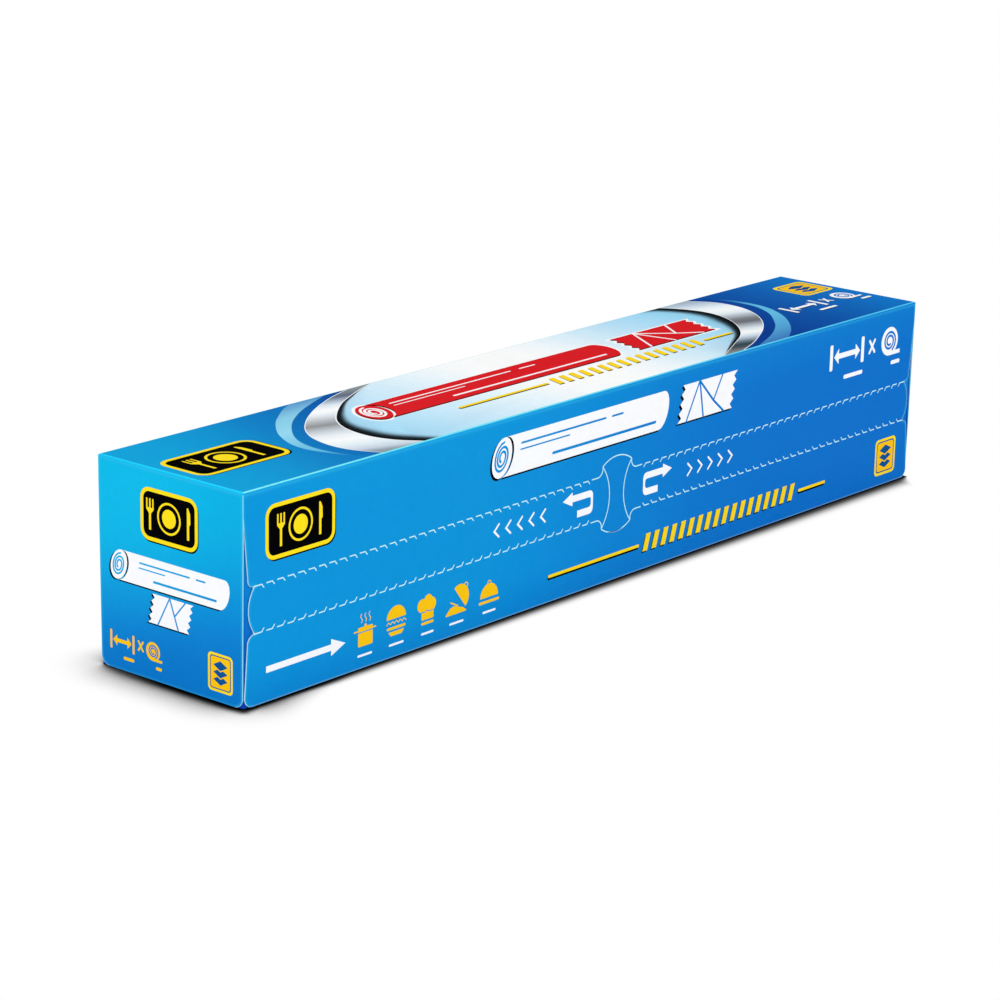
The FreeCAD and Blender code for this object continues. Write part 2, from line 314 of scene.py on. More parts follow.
# The front panel, measured across from its left corner and up from the base
frontPrint = {
    "title": {
        "left": 97.2, "foot": 42.0, "rollLength": 80.4, "sheetLeft": 183.4, "sheetWidth": 27.2,
        "height": 11.5, "slope": 0.21, "shadow": (-0.8, -0.5),
        "stripes": [(0.74, 0.15, 0.62, 0.055), (0.74, 0.66, 0.72, 0.055), (0.58, 0.15, 0.42, 0.04),
                    (0.24, 0.34, 0.93, 0.075)],
    },
    "plaque": {"left": 8.2, "low": 38.6, "right": 34.5, "high": 53.8, "shadow": (0.35, -0.45)},
    "size": {"width": (262.3, 44.0, 281.3, 52.4), "cross": (285.9, 48.2, 2.9, 3.9), "spool": (295.9, 48.2, 4.7),
             "bar": (40.2, 41.5, 0.5), "barSpans": ((270.4, 280.9), (297.2, 302.2))},
    # beside the tab: a hooked arrow and chevrons, the same on both sides of its middle
    "tabMiddle": 155.8,
    "hook": (
        [(130.1, 29.0), (134.5, 26.9), (134.5, 28.05), (142.2, 28.05)] + arc(142.2, 27.3, 0.8, 0.75, 90, 0, 30)
        + [(143.0, 26.0)] + arc(142.0, 26.0, 1.0, 0.9, 0, -90, 30) + [(136.8, 25.1), (136.8, 23.0)]
        + arc(142.4, 24.7, 1.55, 1.7, -90, 0, 30) + arc(142.4, 28.5, 1.55, 1.55, 0, 90, 30)
        + [(134.5, 30.05), (134.5, 31.1)]),
    "chevrons": {"left": 99.8, "step": 5.1, "count": 5, "length": 2.0, "low": 24.95, "high": 28.65,
                 "width": 0.62},
    "rules": {"low": 7.45, "high": 8.4, "left": (124.3, 166.6), "right": (248.2, 262.8), "corner": 0.3,
              "shadow": (-0.35, -0.6), "dashShadow": (-0.5, -0.4)},
    "dashes": {"left": 168.4, "right": 247.0, "low": 5.6, "high": 10.9, "pitch": 4.35, "width": 2.25,
               "slope": 0.3},
    "pointer": [(8.4, 8.2), (33.2, 8.2), (33.2, 6.7), (38.8, 9.1), (33.2, 11.5), (33.2, 10.0), (8.4, 10.0)],
    "captions": {"low": 3.5, "high": 4.15, "corner": 0.3,
                 "spans": ((43.6, 49.4), (56.2, 62.2), (69.4, 74.6), (81.2, 87.2), (95.4, 101.0))},
    "tile": {"left": 291.0, "low": 3.5, "right": 302.6, "high": 15.7, "line": 0.42},
}


def drawPan(drawing, ink, ground):
    for cx in (45.1, 46.75, 48.4):
        steam = [(cx + 0.3 * sin(i * 0.7), 13.2 + i * 0.27) for i in range(10)]
        drawing.append((ink, stroke(steam, 0.26)))
    drawing.append((ink, roundBox(43.8, 6.4, 49.6, 11.9, 0.3)))
    drawing.append((ink, stroke([(42.3, 10.95), (50.8, 10.95)], 0.4)))
    drawing.append((ground, stroke([(43.2, 10.45), (50.2, 10.45)], 0.3, False)))
    drawing.append((ink, oval(46.7, 12.25, 0.5, 0.4, 30)))


def drawBun(drawing, ink, ground):
    drawing.append((ink, arc(59.1, 11.2, 3.9, 3.65, 0, 180)))
    leaf = [(55.2 + 0.79 * i, 10.15 + (0.34 if i % 2 else -0.34)) for i in range(11)]
    drawing.append((ink, stroke(leaf, 0.26)))
    drawing.append((ink, roundBox(55.3, 8.2, 62.9, 8.95, 0.37)))
    drawing.append((ink, [(56.9, 6.4), (61.4, 6.4), (62.3, 7.6), (55.9, 7.6)]))


def drawHat(drawing, ink, ground):
    for cx, cy, r in ((69.7, 12.1, 1.95), (73.4, 11.9, 2.05), (72.2, 13.2, 1.75), (71.4, 11.6, 1.9)):
        drawing.append((ink, oval(cx, cy, r, r, 15)))
    crease = [(69.6, 10.2), (70.6, 10.0), (71.7, 10.5), (72.8, 9.9), (74.0, 10.1)]
    drawing.append((ground, stroke(crease, 0.28)))
    band = [(69.5, 7.8), (74.4, 7.8), (74.4, 10.05), (72.8, 9.75), (71.7, 10.3), (70.6, 9.8), (69.5, 10.1)]
    drawing.append((ink, band))
    drawing.append((ink, roundBox(69.4, 6.4, 74.5, 7.15, 0.3)))


def drawLiftedCover(drawing, ink, ground):
    dish = [(79.5, 6.7), (79.8, 6.4), (88.0, 6.4), (88.3, 6.7), (86.9, 7.7), (84.9, 8.3), (83.2, 8.9)]
    drawing.append((ink, dish + [(81.5, 8.5), (80.5, 7.6)]))
    drawing.append((ink, stroke([(81.7, 10.1), (84.6, 8.7)], 0.42)))
    hinge = (85.5, 10.9)
    drawing.append((ink, turned(arc(*hinge, 3.85, 3.9, 0, 180), hinge, -52)))
    knob = turned(arc(85.5, 14.9, 0.75, 0.75, -20, 200, 30), hinge, -40)
    drawing.append((ink, stroke(knob, 0.3)))


def drawCover(drawing, ink, ground):
    drawing.append((ink, arc(98.1, 8.1, 3.85, 4.05, 0, 180)))
    drawing.append((ink, stroke(arc(98.1, 12.3, 0.72, 0.6, -10, 190, 30), 0.3)))
    drawing.append((ink, roundBox(93.7, 6.4, 102.5, 7.2, 0.4)))


def drawFront(p):
    drawing, ground = [], "boardBlue"
    drawTitle(drawing, p["title"], "printWhite", ground)
    drawPlaque(drawing, **p["plaque"])
    drawSize(drawing, p["size"], "printWhite", ground)
    marks, c = [p["hook"]], p["chevrons"]
    for start in (c["left"] + c["step"] * i for i in range(c["count"])):
        end, middle = start + c["length"], (c["low"] + c["high"]) / 2
        marks.append(stroke([(end, c["high"]), (start, middle), (end, c["low"])], c["width"]))
    for outline in marks:
        drawing += [("printWhite", outline), ("printWhite", flip(outline, p["tabMiddle"]))]
    drawSlogan(drawing, p["rules"], p["dashes"])
    drawing.append(("printWhite", p["pointer"]))
    for draw in (drawPan, drawBun, drawHat, drawLiftedCover, drawCover):
        draw(drawing, "tileAmber", ground)
    captions = p["captions"]
    for left, right in captions["spans"]:
        caption = roundBox(left, captions["low"], right, captions["high"], captions["corner"])
        drawing.append(("printWhite", caption))
    drawLayerTile(drawing, **p["tile"])
    return drawing


# The near end panel, measured across from the back edge and up from the base
endPrint = {
    "roll": {"left": 3.6, "foot": 25.6, "length": 44.4, "height": 8.5,
             "stripes": [(0.74, 0.24, 0.66, 0.06), (0.74, 0.72, 0.79, 0.06), (0.57, 0.24, 0.46, 0.045),
                         (0.25, 0.38, 0.9, 0.08)]},
    "sheet": {"left": 18.6, "foot": 16.2, "width": 15.4, "height": 8.3, "teeth": 4,
              "creases": [((0.24, 0.0), (0.42, 1.0)), ((0.42, 1.0), (0.74, 0.0)), ((0.6, 0.44), (0.8, 1.0))]},
    "slope": 0.21,
    "shadow": (-0.6, -0.4),
    "plaque": {"left": 16.1, "low": 39.0, "right": 37.5, "high": 53.6, "shadow": (0.3, -0.4)},
    "size": {"width": (3.8, 5.6, 13.2, 10.9), "cross": (15.6, 8.6, 1.7, 2.5), "spool": (20.3, 8.2, 2.65),
             "bar": (3.3, 4.2, 0.35), "barSpans": ((9.0, 13.0), (21.4, 23.6))},
    "tile": {"left": 41.0, "low": 2.9, "right": 50.1, "high": 13.5, "line": 0.32},
}


def drawEnd(p):
    drawing, ground = [], "endBlue"
    for draw, sign in ((rollSign, p["roll"]), (sheetSign, p["sheet"])):
        drawSign(drawing, draw(**sign), "printWhite", ground, sign["foot"], p["slope"], p["shadow"])
    drawPlaque(drawing, **p["plaque"])
    drawSize(drawing, p["size"], "tileAmber", ground)
    drawLayerTile(drawing, **p["tile"])
    return drawing


# The lid panel, measured along from the near end and back from the front fold
lidPrint = {
    "silverOuter": {
        "left": [(55.0, -1.5), (53.4, 0.8), (51.2, 4.5), (49.2, 10.1), (48.9, 15.7), (50.0, 21.3),
                 (52.1, 26.4), (56.0, 31.7), (61.2, 36.5), (67.4, 41.0), (75.2, 45.5), (84.5, 49.7),
                 (92.6, 52.4), (103.0, 55.6)],
        "right": [(212.0, -1.5), (217.0, 0.7), (226.0, 3.9), (235.1, 8.2), (243.6, 12.9), (251.2, 18.6),
                  (257.2, 25.0), (261.4, 32.1), (263.0, 39.3), (261.9, 46.4), (256.9, 53.6), (254.5, 56.0)],
    },
    "silverInner": {
        "left": [(72.0, -1.5), (70.0, 0.8), (66.3, 5.6), (64.1, 10.7), (63.4, 15.7), (63.9, 20.8),
                 (65.4, 25.8), (68.4, 30.9), (72.4, 35.1), (78.2, 39.8), (84.6, 44.1), (90.7, 47.1),
                 (97.6, 50.1), (105.7, 52.9), (114.8, 55.8)],
        "right": [(201.5, -1.5), (208.1, 1.4), (221.0, 7.5), (230.2, 12.1), (236.9, 17.1), (242.9, 23.6),
                  (246.7, 30.0), (248.5, 35.7), (248.5, 42.1), (246.0, 48.6), (242.4, 53.9), (240.6, 56.0)],
    },
    "crescentOuter": {
        "left": [(46.2, 3.4), (43.4, 9.8), (41.6, 16.8), (42.3, 23.6), (45.8, 30.9), (49.9, 36.5),
                 (56.0, 42.7), (61.8, 47.1), (66.8, 50.5), (72.2, 53.3), (77.8, 55.8)],
        "right": [(236.9, -1.3), (241.4, 1.4), (248.4, 5.7), (255.5, 11.4), (261.8, 17.9), (266.1, 24.3),
                  (268.8, 30.7), (269.3, 37.9), (267.8, 44.3), (264.6, 50.3)],
    },
    "crescentInner": {
        "left": [(46.2, 3.4), (44.6, 9.6), (44.1, 15.7), (45.0, 21.3), (47.2, 26.4), (51.4, 32.0),
                 (57.7, 38.2), (64.2, 42.9), (71.7, 47.1), (81.9, 51.4), (87.2, 53.4), (94.5, 55.8)],
        "right": [(219.0, -1.4), (227.4, 1.8), (238.9, 6.4), (248.9, 12.1), (256.7, 18.6), (261.7, 23.6),
                  (265.3, 29.3), (267.1, 34.3), (267.2, 40.7), (266.1, 46.0), (264.6, 50.3)],
    },
    # at the silver band's outer and inner edge: how far in a white line lies, and its width
    "silverLines": {"left": ((0.2, 0.26), (-0.2, 0.42)), "right": ((-0.2, 0.26), (0.2, 0.22))},
    # how far the shade under the silver band reaches in, by the place up the lid
    "shadeReach": {
        "left": [(0.0, 6.5), (8.0, 8.4), (18.0, 8.2), (26.0, 5.4), (34.0, 3.4), (42.0, 1.9), (52.0, 0.3)],
        "right": [(1.0, 0.3), (8.0, 1.6), (15.0, 3.0), (22.0, 5.0), (30.0, 7.8), (40.0, 8.4), (54.0, 7.0)],
    },
    "farField": [(180, -2), (312, -2), (312, 60), (180, 60)],
    "title": {
        "left": 76.0, "foot": 23.4, "rollLength": 112.0, "sheetLeft": 194.0, "sheetWidth": 38.6,
        "height": 14.3, "slope": 0.24, "shadow": (-0.75, -0.75), "halo": 0.95,
        "stripes": [(0.74, 0.13, 0.6, 0.05), (0.74, 0.64, 0.7, 0.05), (0.58, 0.13, 0.4, 0.036),
                    (0.24, 0.32, 0.94, 0.07)],
    },
    "plaque": {"left": 3.5, "low": 17.6, "right": 38.0, "high": 36.4, "shadow": (0.35, -0.5)},
    "rules": {"low": 16.2, "high": 17.5, "left": (103.3, 142.7), "right": (218.0, 232.2), "corner": 0.4,
              "shadow": (-0.55, -0.7), "dashShadow": (-0.55, -0.7)},
    "dashes": {"left": 144.4, "right": 217.0, "low": 13.8, "high": 20.0, "pitch": 4.5, "width": 2.3,
               "slope": 0.35},
    "size": {"width": (269.3, 18.0, 286.8, 26.0), "cross": (290.9, 22.1, 2.4, 3.6), "spool": (300.4, 22.2, 4.2),
             "bar": (14.6, 16.0, 0.5), "barSpans": ((278.0, 287.0), (301.5, 306.5))},
    "sizeShadow": (-0.5, -0.5),
    "tile": {"left": 291.3, "low": 29.9, "right": 307.4, "high": 44.75, "line": 0.5},
}


def lidOval(p):
    # the inner edge of the silver band all round
    left, right = (smoothCurve(p["silverInner"][side], 5) for side in ("left", "right"))
    return [(82.0, -12.0)] + left + [(128.0, 66.0), (222.0, 66.0)] + right[::-1] + [(182.0, -12.0)]


def lidShade(x, y):
    # the reach of the band's shade at a place on the lid
    reaches = lidPrint["shadeReach"]["right" if x > 155 else "left"]
    for (low, before), (high, after) in zip(reaches, reaches[1:]):
        if y < high:
            return before + (after - before) * max(0.0, (y - low) / (high - low))
    return after


def drawLid(p):
    drawing = [("farBlue", p["farField"])]
    names = ("silverOuter", "silverInner", "crescentOuter", "crescentInner")
    for side in ("left", "right"):
        outer, inner, hornOuter, hornInner = (smoothCurve(p[name][side], 5) for name in names)
        drawing.append(("deepBlue" + side.title(), hornInner + outer[::-1]))
        drawing.append(("crescent" + side.title(), hornOuter + hornInner[::-1]))
        drawing.append(("silver" + side.title(), outer + inner[::-1]))
        for edge, (inward, width) in zip((outer, inner), p["silverLines"][side]):
            drawing.append(("printWhite", stroke(shift(edge, inward, 0), width, False)))
    drawing.append(("ovalField", lidOval(p)))
    drawTitle(drawing, p["title"], "titleRed", "printWhite")
    drawPlaque(drawing, **p["plaque"])
    drawSlogan(drawing, p["rules"], p["dashes"])
    drawSize(drawing, p["size"], "printWhite", "farBlue", p["sizeShadow"])
    drawLayerTile(drawing, **p["tile"])
    return drawing


# Inks in screen colours, each even or with stops of (millimetres along a direction, red, green, blue).
# Tints and painted highlights are (from, to, colour, share), measured up or back. A crest, a fold's painted
# highlight, is (axis, from, to) from the middle.
inks = {
    "boardBlue": {
        "along": (1, 0, 0),
        "stops": [(-155, 0, 148, 218), (-60, 0, 148, 218), (-35, 0, 143, 217), (0, 0, 132, 211),
                  (40, 0, 121, 207), (70, 0, 116, 206), (155, 0, 113, 204)],
        # darker towards the base; painted highlights: lighter towards the top fold, a bright band just under it
        # and a pale line along the base fold
        "heightTintsAndHighlights": [(13.0, 0.0, (0, 106, 192), 0.32), (44.0, 59.0, (0, 156, 220), 0.2),
                         (57.2, 58.5, (60, 205, 238), 0.3), (0.75, 0.2, (150, 190, 212), 0.4)],
        # a painted highlight along the panel's sides
        "edgeHighlight": ((40, 190, 238), 0.34),
    },
    "endBlue": {
        "along": (0, 0.17, 1),
        "stops": [(4, 0, 121, 204), (11, 0, 125, 206), (16, 0, 134, 212), (26, 0, 155, 221), (34, 0, 171, 228),
                  (41, 0, 181, 231), (51, 0, 186, 233)],
        # darker towards the front edge, with a painted highlight along the panel's sides
        "depthShades": [(8.0, -27.0, (0, 124, 205), 0.2)], "edgeHighlight": ((60, 195, 238), 0.4),
    },
    "topBlue": {
        "along": (1, -0.25, 0),
        "stops": [(-153, 0, 164, 221), (-140, 0, 159, 218), (-125, 0, 149, 212), (-110, 0, 132, 203),
                  (-96, 0, 120, 195), (80, 0, 64, 154)],
    },
    "farBlue": {
        "along": (1, -0.03, 0),
        "stops": [(85, 0, 63, 154), (101, 0, 74, 162), (107, 0, 79, 167), (117, 0, 86, 173),
                  (133, 0, 100, 187), (149, 0, 116, 203), (155, 0, 120, 206)],
    },
    "deepBlueLeft": {
        "along": (1, -0.25, 0), "stops": [(-112, 0, 126, 197), (-90, 0, 104, 184), (-60, 0, 56, 152)],
    },
    "deepBlueRight": {
        "along": (1, -0.25, 0), "stops": [(70, 0, 62, 152), (90, 0, 60, 148), (110, 0, 74, 162)],
    },
    "crescentLeft": {
        "along": (0, 1, 0),
        "stops": [(-24, 24, 136, 202), (-12, 100, 190, 228), (6, 150, 218, 243), (17, 136, 206, 234),
                  (27, 84, 150, 206)],
    },
    "crescentRight": {
        "along": (0, 1, 0),
        "stops": [(-27, 58, 120, 190), (-16, 82, 168, 218), (-4, 98, 190, 231), (8, 92, 186, 230),
                  (21, 10, 96, 176)],
    },
    "silverLeft": {
        "along": (0.35, 1, 0),
        "stops": [(-64, 120, 136, 150), (-59, 150, 166, 178), (-56, 202, 214, 228), (-51, 226, 240, 247),
                  (-45, 252, 254, 255), (-40, 238, 244, 249), (-36.5, 216, 225, 232), (-32, 182, 189, 195),
                  (-28.5, 147, 151, 155), (-24, 184, 189, 193), (-18, 232, 239, 245), (-14, 254, 255, 255),
                  (-9, 226, 236, 246), (-4, 158, 173, 190), (-0.5, 98, 110, 132), (5, 136, 146, 150),
                  (10, 146, 154, 158)],
    },
    "silverRight": {
        "along": (-0.35, -1, 0),
        "stops": [(-64, 140, 158, 176), (-57, 184, 203, 219), (-50, 236, 247, 253), (-46, 254, 255, 255),
                  (-41, 232, 242, 248), (-37, 186, 195, 206), (-32, 126, 131, 138), (-28, 110, 113, 119),
                  (-24, 168, 177, 188), (-19, 226, 235, 242), (-15, 252, 254, 255), (-10.8, 208, 222, 238),
                  (-5, 106, 124, 138), (-2, 58, 76, 84), (1, 74, 85, 96), (6, 136, 138, 142)],
    },
    "ovalField": {
        "along": (1, 0.15, 0),
        "stops": [(-88, 168, 222, 250), (-75, 180, 228, 252), (-55, 206, 236, 253), (-35, 228, 246, 254),
                  (-14, 252, 254, 255), (10, 254, 255, 255), (25, 243, 251, 255), (45, 212, 239, 253),
                  (65, 183, 227, 251), (85, 154, 218, 248)],
        "innerShadow": [(0.0, 0.0), (0.2, 0.14), (0.37, 0.46), (0.53, 0.84), (0.7, 0.98), (1.0, 1.0)],
    },
    "printWhite": {"colour": (250, 251, 253)},
    "printBlack": {"colour": (6, 10, 18)},
    "plaqueBlack": {"colour": (5, 5, 8)},
    "rimYellow": {"colour": (254, 224, 22)},
    "ruleYellow": {"colour": (255, 218, 20)},
    "tileAmber": {"colour": (255, 199, 4)},
    "tileLine": {"colour": (0, 84, 150)},
    "titleRed": {"colour": (222, 22, 32)},
    "cutBoard": {"colour": (214, 243, 248), "raw": True},
    # cut board walls: the raw board, turning to a painted shade on the wall's inner side
    "frontEdge": {"colour": (222, 250, 252), "raw": True, "depthFrom": ((0, 1, 0), 26.62, 26.82)},
    "endEdge": {"colour": (120, 218, 244), "raw": True, "depthFrom": ((1, 0, 0), 154.62, 154.82)},
    # the inner board seen in the gaps between flaps, darker towards the base: its own deeper blue with painted
    # shade
    "innerBoardAndShade": {
        "along": (0, 0, 1), "stops": [(0, 0, 66, 172), (12, 0, 92, 190), (25, 0, 118, 206), (50, 0, 150, 220)],
    },
    # fold faces, lighter than the board: a painted highlight, palest along the crest
    "frontFold": {
        "along": (1, 0, 0),
        "stops": [(-155, 0, 158, 224), (-60, 0, 156, 224), (60, 0, 128, 212), (155, 0, 122, 208)],
        "crest": ((0, 0, 1), 58.68, 58.86),
        "crestHighlightStops": [(-155, 130, 236, 240), (-100, 116, 228, 238), (155, 74, 192, 231)],
    },
    # the end's top fold, with a painted highlight along its crest
    "endFold": {
        "along": (0, 0, 1), "stops": [(58, 0, 184, 232), (59, 0, 190, 236)],
        "crest": ((0, 0, 1), 58.74, 58.9), "crestHighlightStops": [(-155, 36, 208, 252), (155, 36, 208, 252)],
    },
    # a painted highlight down the sharp upper corners
    "cornerHighlight": {"colour": (136, 232, 246)},
}


def screenColour(rgb):
    parts = [c / 255 for c in rgb]
    return [c / 12.92 if c <= 0.04045 else ((c + 0.055) / 1.055) ** 2.4 for c in parts] + [1.0]


def joinNodes(tree, kind, feeds=None, **settings):
    # feeds gives inputs, by name or number, a value or the socket that drives them
    node = tree.nodes.new(kind)
    for name, value in settings.items():
        setattr(node, name, value)
    for name, value in (feeds or {}).items():
        if hasattr(value, "is_linked"):
            tree.links.new(value, node.inputs[name])
        else:
            node.inputs[name].default_value = value
    return node


def noiseOf(tree, place, scale, detail):
    feeds = {"Vector": place.outputs["Object"], "Scale": scale, "Detail": detail}
    return joinNodes(tree, "ShaderNodeTexNoise", feeds).outputs["Fac"]


def rangeOf(tree, value, low, high, start=0.0, end=1.0, way="LINEAR"):
    # start where the value is low, end where it is high
    feeds = {"Value": value, "From Min": low, "From Max": high, "To Min": start, "To Max": end}
    return joinNodes(tree, "ShaderNodeMapRange", feeds, interpolation_type=way).outputs["Result"]


def bumpOf(tree, height, strength, distance, under=None):
    feeds = {"Height": height, "Strength": strength, "Distance": distance}
    if under:
        feeds["Normal"] = under
    return joinNodes(tree, "ShaderNodeBump", feeds).outputs["Normal"]


def vectorOf(tree, operation, *vectors):
    return joinNodes(tree, "ShaderNodeVectorMath", dict(enumerate(vectors)), operation=operation)


def alongOf(tree, vector, way):
    return vectorOf(tree, "DOT_PRODUCT", vector, way).outputs["Value"]


# The coated board under the inks: noise is (scale, detail), bumps are (strength, distance in metres)
boardLook = {
    "fibre": (2600.0, 3.0), "fibreBump": (0.25, 0.00002),
    "waves": (26.0, 2.0), "waveBump": (0.5, 0.0004), "roughness": (0.3, 0.42),
    "mottle": (420.0, 4.0), "tone": (0.965, 1.0), "noiseSpan": (0.3, 0.7),
    "specular": 0.05,
    "rawRoughness": 0.85, "rawSpecular": 0.03,
    "pulp": (5200.0, 2.0), "pulpColour": (160, 220, 236), "pulpShare": (0.4, 0.65, 0.5),
    # painted shade on the inner side of a cut wall
    "cutWallShade": (0, 96, 186),
    "wear": (900.0, 5.0), "wearColour": (40, 176, 228), "wearShare": (0.48, 0.68, 0.3),
    # the printed shade under the silver band, and the nearness at which the painted side highlight begins and
    # is full
    "bandShade": (12, 18, 20), "edgeHighlightSpan": (0.15, 1.0),
}


def boardGrain(look):
    # the fine lie of the coated board, shared by every ink: tone, roughness and normal
    tree = bpy.data.node_groups.new("boardGrain", "ShaderNodeTree")
    for name, kind in (("Tone", "Float"), ("Roughness", "Float"), ("Normal", "Vector")):
        tree.interface.new_socket(name, in_out="OUTPUT", socket_type="NodeSocket" + kind)
    place = joinNodes(tree, "ShaderNodeTexCoord")
    fibre, waves, mottle = (noiseOf(tree, place, *look[name]) for name in ("fibre", "waves", "mottle"))
    joinNodes(tree, "NodeGroupOutput", {
        "Tone": rangeOf(tree, mottle, *look["noiseSpan"], *look["tone"]),
        "Roughness": rangeOf(tree, waves, *look["noiseSpan"], *look["roughness"]),
        "Normal": bumpOf(tree, fibre, *look["fibreBump"], bumpOf(tree, waves, *look["waveBump"])),
    })
    return tree


def rampOf(tree, value, stops):
    # a colour for a value that runs from 0 to 1
    ramp = joinNodes(tree, "ShaderNodeValToRGB", {"Fac": value})
    while len(ramp.color_ramp.elements) < len(stops):
        ramp.color_ramp.elements.new(0.5)
    for element, (place, colour) in zip(ramp.color_ramp.elements, stops):
        element.position, element.color = place, colour
    return ramp.outputs["Color"]


def inkRamp(tree, value, stops):
    low, high = stops[0][0], stops[-1][0]
    even = [((place - low) / (high - low), screenColour(colour)) for place, *colour in stops]
    return rampOf(tree, rangeOf(tree, value, low, high), even)


def greyRamp(tree, value, stops):
    return rampOf(tree, value, [(place, (tone, tone, tone, 1)) for place, tone in stops])


def mixedIn(tree, colour, other, factor, way="MIX"):
    feeds = {6: colour, 7: other, 0: factor}
    return joinNodes(tree, "ShaderNodeMix", feeds, data_type="RGBA", blend_type=way).outputs[2]


def shareBetween(tree, value, start, end, most=1.0):
    # nothing before start, rising softly to most at end
    if end > start:
        return rangeOf(tree, value, start, end, 0.0, most, "SMOOTHSTEP")
    return rangeOf(tree, value, end, start, most, 0.0, "SMOOTHSTEP")


def depthOf(tree, place, along, start, end):
    # rises between two distances from the middle of the carton
    apart = vectorOf(tree, "ABSOLUTE", place).outputs[0]
    return shareBetween(tree, alongOf(tree, apart, along), start, end)


def mixInk(name, ink, grain, look):
    material = bpy.data.materials.new(name)
    material.use_nodes = True
    tree = material.node_tree
    shader = tree.nodes["Principled BSDF"]
    place = joinNodes(tree, "ShaderNodeTexCoord")
    surface = joinNodes(tree, "ShaderNodeGroup", node_tree=grain)
    feeds = {0: place.outputs["Object"], "Scale": 1 / mm}
    where = joinNodes(tree, "ShaderNodeVectorMath", feeds, operation="SCALE").outputs[0]
    axes = joinNodes(tree, "ShaderNodeSeparateXYZ", {0: where})

    def tinted(colour, tint, share):
        return mixedIn(tree, colour, screenColour(tint), share)

    if "colour" in ink:
        colour = screenColour(ink["colour"])
    else:
        colour = inkRamp(tree, alongOf(tree, where, ink["along"]), ink["stops"])
    # tints up and back across the panel, some of them painted highlights
    for key, axis in (("heightTintsAndHighlights", "Z"), ("depthShades", "Y")):
        for start, end, tint, most in ink.get(key, []):
            colour = tinted(colour, tint, shareBetween(tree, axes.outputs[axis], start, end, most))
    if "edgeHighlight" in ink or "innerShadow" in ink:
        near = joinNodes(tree, "ShaderNodeAttribute", attribute_name="nearEdge").outputs["Fac"]
    # a painted highlight along the panel's sides, fading inward
    if "edgeHighlight" in ink:
        tint, most = ink["edgeHighlight"]
        colour = tinted(colour, tint, shareBetween(tree, near, *look["edgeHighlightSpan"], most))
    if "innerShadow" in ink:
        colour = tinted(colour, look["bandShade"], greyRamp(tree, near, ink["innerShadow"]))
    if "crest" in ink:
        # along its crest a fold is paler: a painted highlight, partly the creased coat's whitening, a little
        # more so where the coat has cracked
        crest = inkRamp(tree, axes.outputs["X"], ink["crestHighlightStops"])
        wear = shareBetween(tree, noiseOf(tree, place, *look["wear"]), *look["wearShare"])
        crest = tinted(crest, look["wearColour"], wear)
        colour = mixedIn(tree, colour, crest, depthOf(tree, where, *ink["crest"]))
    if ink.get("raw"):
        pulp = shareBetween(tree, noiseOf(tree, place, *look["pulp"]), *look["pulpShare"])
        colour = tinted(colour, look["pulpColour"], pulp)
    # a cut wall turns from its raw board to a painted shade towards its inner side
    if "depthFrom" in ink:
        colour = mixedIn(tree, screenColour(look["cutWallShade"]), colour, depthOf(tree, where, *ink["depthFrom"]))
    colour = mixedIn(tree, colour, surface.outputs["Tone"], 1.0, "MULTIPLY")
    tree.links.new(colour, shader.inputs["Base Color"])
    tree.links.new(surface.outputs["Normal"], shader.inputs["Normal"])
    if ink.get("raw"):
        shader.inputs["Roughness"].default_value = look["rawRoughness"]
        shader.inputs["Specular IOR Level"].default_value = look["rawSpecular"]
    else:
        tree.links.new(surface.outputs["Roughness"], shader.inputs["Roughness"])
        shader.inputs["Specular IOR Level"].default_value = look["specular"]
    return material


# Panels of the carton that carry print
# a panel's glow is how far in the painted highlight along its sides reaches; it follows only outline edges
# within its band of the sides
endPanel = {
    "up": (0, 0, 1), "ground": "endBlue", "glow": 1.2, "highlightBand": 3.0, "crush": 0.06,
    "covered": [(-1, 52.5, 55, 60), (3.0, -1, 51.0, 3)], "corners": (0, 54),
}
panels = {
    "front": {
        "origin": (-0.155, -0.027, 0), "across": (1, 0, 0), "up": (0, 0, 1), "ground": "boardBlue",
        "glow": 1.3, "highlightBand": 5.0, "crush": 0.07,
        "covered": [(-1, 52.5, 311, 60), (4.35, -1, 305.65, 60), (2.5, -1, 307.5, 2)], "corners": (0, 310),
    },
    "nearEnd": {**endPanel, "origin": (-0.155, 0.027, 0), "across": (0, -1, 0)},
    "farEnd": {**endPanel, "origin": (0.155, -0.027, 0), "across": (0, 1, 0)},
    "lid": {"origin": (-0.155, -0.027, 0.059), "across": (1, 0, 0), "up": (0, 1, 0), "ground": "topBlue"},
}
# the painted highlight down the upper corners: half its width and its span up the panel
cornerHighlightStrip = {"half": 0.14, "low": 52.3, "high": 60.0}


def rimsOf(faces, flat):
    # the closed edges round a panel and its cuts, each with its board corners and flat outline
    inside = set(faces)
    follow = {}
    for face in faces:
        for loop in face.loops:
            if sum(other in inside for other in loop.edge.link_faces) == 1:
                follow[loop.vert] = loop.link_loop_next.vert
    rims = []
    while follow:
        corner, after = follow.popitem()
        rim = [corner]
        while after is not rim[0]:
            rim.append(after)
            after = follow.pop(after)
        rims.append(rim)
    rims.sort(key=lambda rim: -abs(area([flat(v.co) for v in rim])))
    return rims


def nearness(place, edge, reach):
    # 1 on the edge, 0 from reach onwards, and less all over where the reach is under a millimetre
    here = Vector(place)
    least = reach
    for a, b in edge:
        if min(a.x, b.x) - least > here.x or max(a.x, b.x) + least < here.x:
            continue
        foot, share = intersect_point_line(here, a, b)
        foot = a if share < 0 else b if share > 1 else Vector(foot[:2])
        least = min(least, (here - Vector(foot[:2])).length)
    return (1 - least / reach) * min(1.0, reach)


